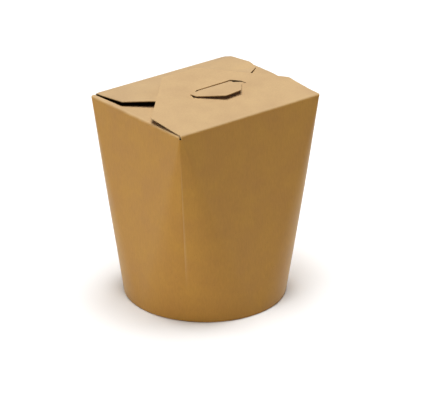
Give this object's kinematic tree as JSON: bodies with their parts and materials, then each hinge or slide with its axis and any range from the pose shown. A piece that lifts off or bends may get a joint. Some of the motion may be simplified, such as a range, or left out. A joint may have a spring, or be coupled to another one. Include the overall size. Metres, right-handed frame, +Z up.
{
  "type": "noodle takeaway box",
  "caption": "Shut kraft paperboard carton with a round base that widens to a rectangular top, closed by overlapping flaps and a tongue pushed through a slot.",
  "frame": {"origin": "centre of the round base, on the plane that the box stands on", "axes": "+Z up, from the base to the folded lid; +X along the long top edges; the front lock flap folds on the -Y edge and the rear one on the +Y edge"},
  "size_m": [0.094, 0.088, 0.1182],
  "materials": {
    "kraft_wall": "uncoated kraft paperboard, matte, with faint fibre mottling",
    "kraft_base": "uncoated kraft paperboard, matte",
    "kraft_flap": "uncoated kraft paperboard, matte, with lighter worn creases"
  },
  "bodies": {
    "root": {"carton_wall": "kraft_wall", "base_disc": "kraft_base", "side_flap_left": "kraft_flap", "side_flap_right": "kraft_flap", "rear_lock_flap": "kraft_flap", "front_lock_flap": "kraft_flap"}
  },
  "joints": []
}
